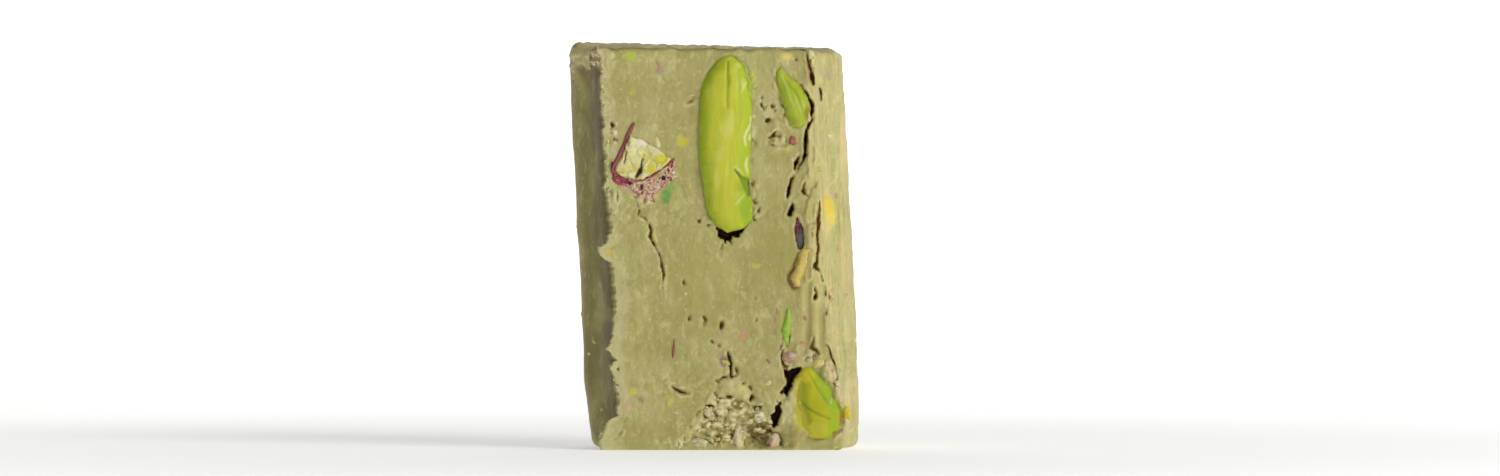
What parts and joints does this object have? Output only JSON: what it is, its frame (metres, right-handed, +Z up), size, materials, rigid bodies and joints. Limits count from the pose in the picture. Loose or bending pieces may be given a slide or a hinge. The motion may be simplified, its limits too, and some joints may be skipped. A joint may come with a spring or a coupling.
{
  "type": "pistachio truffle half",
  "caption": "Lengthwise half of a lobed pistachio paste truffle, standing on its flat end, with nuts set in the cut face.",
  "frame": {"origin": "under the middle of the foot, at the bottom centre of the bounding box", "axes": "+Z up the length of the truffle, -Y out of the cut face, +X to the right seen from the cut face"},
  "size_m": [0.0216, 0.013, 0.0304],
  "materials": {
    "paste": "soft matte pistachio paste, slightly oily, with fine crumbs",
    "kernel_yellow_green": "smooth satin nut flesh, yellow green",
    "kernel_leaf_green": "smooth satin nut flesh, leaf green",
    "nut_cream": "matte broken nut flesh, cream",
    "nut_skin": "dry papery nut skin, dark pink"
  },
  "bodies": {
    "root": {"truffle_paste": "paste", "kernel_whole": "kernel_yellow_green", "kernel_upper": "kernel_leaf_green", "kernel_lower": "kernel_yellow_green", "nut_core": "nut_cream", "nut_skin": "nut_skin"}
  },
  "joints": []
}
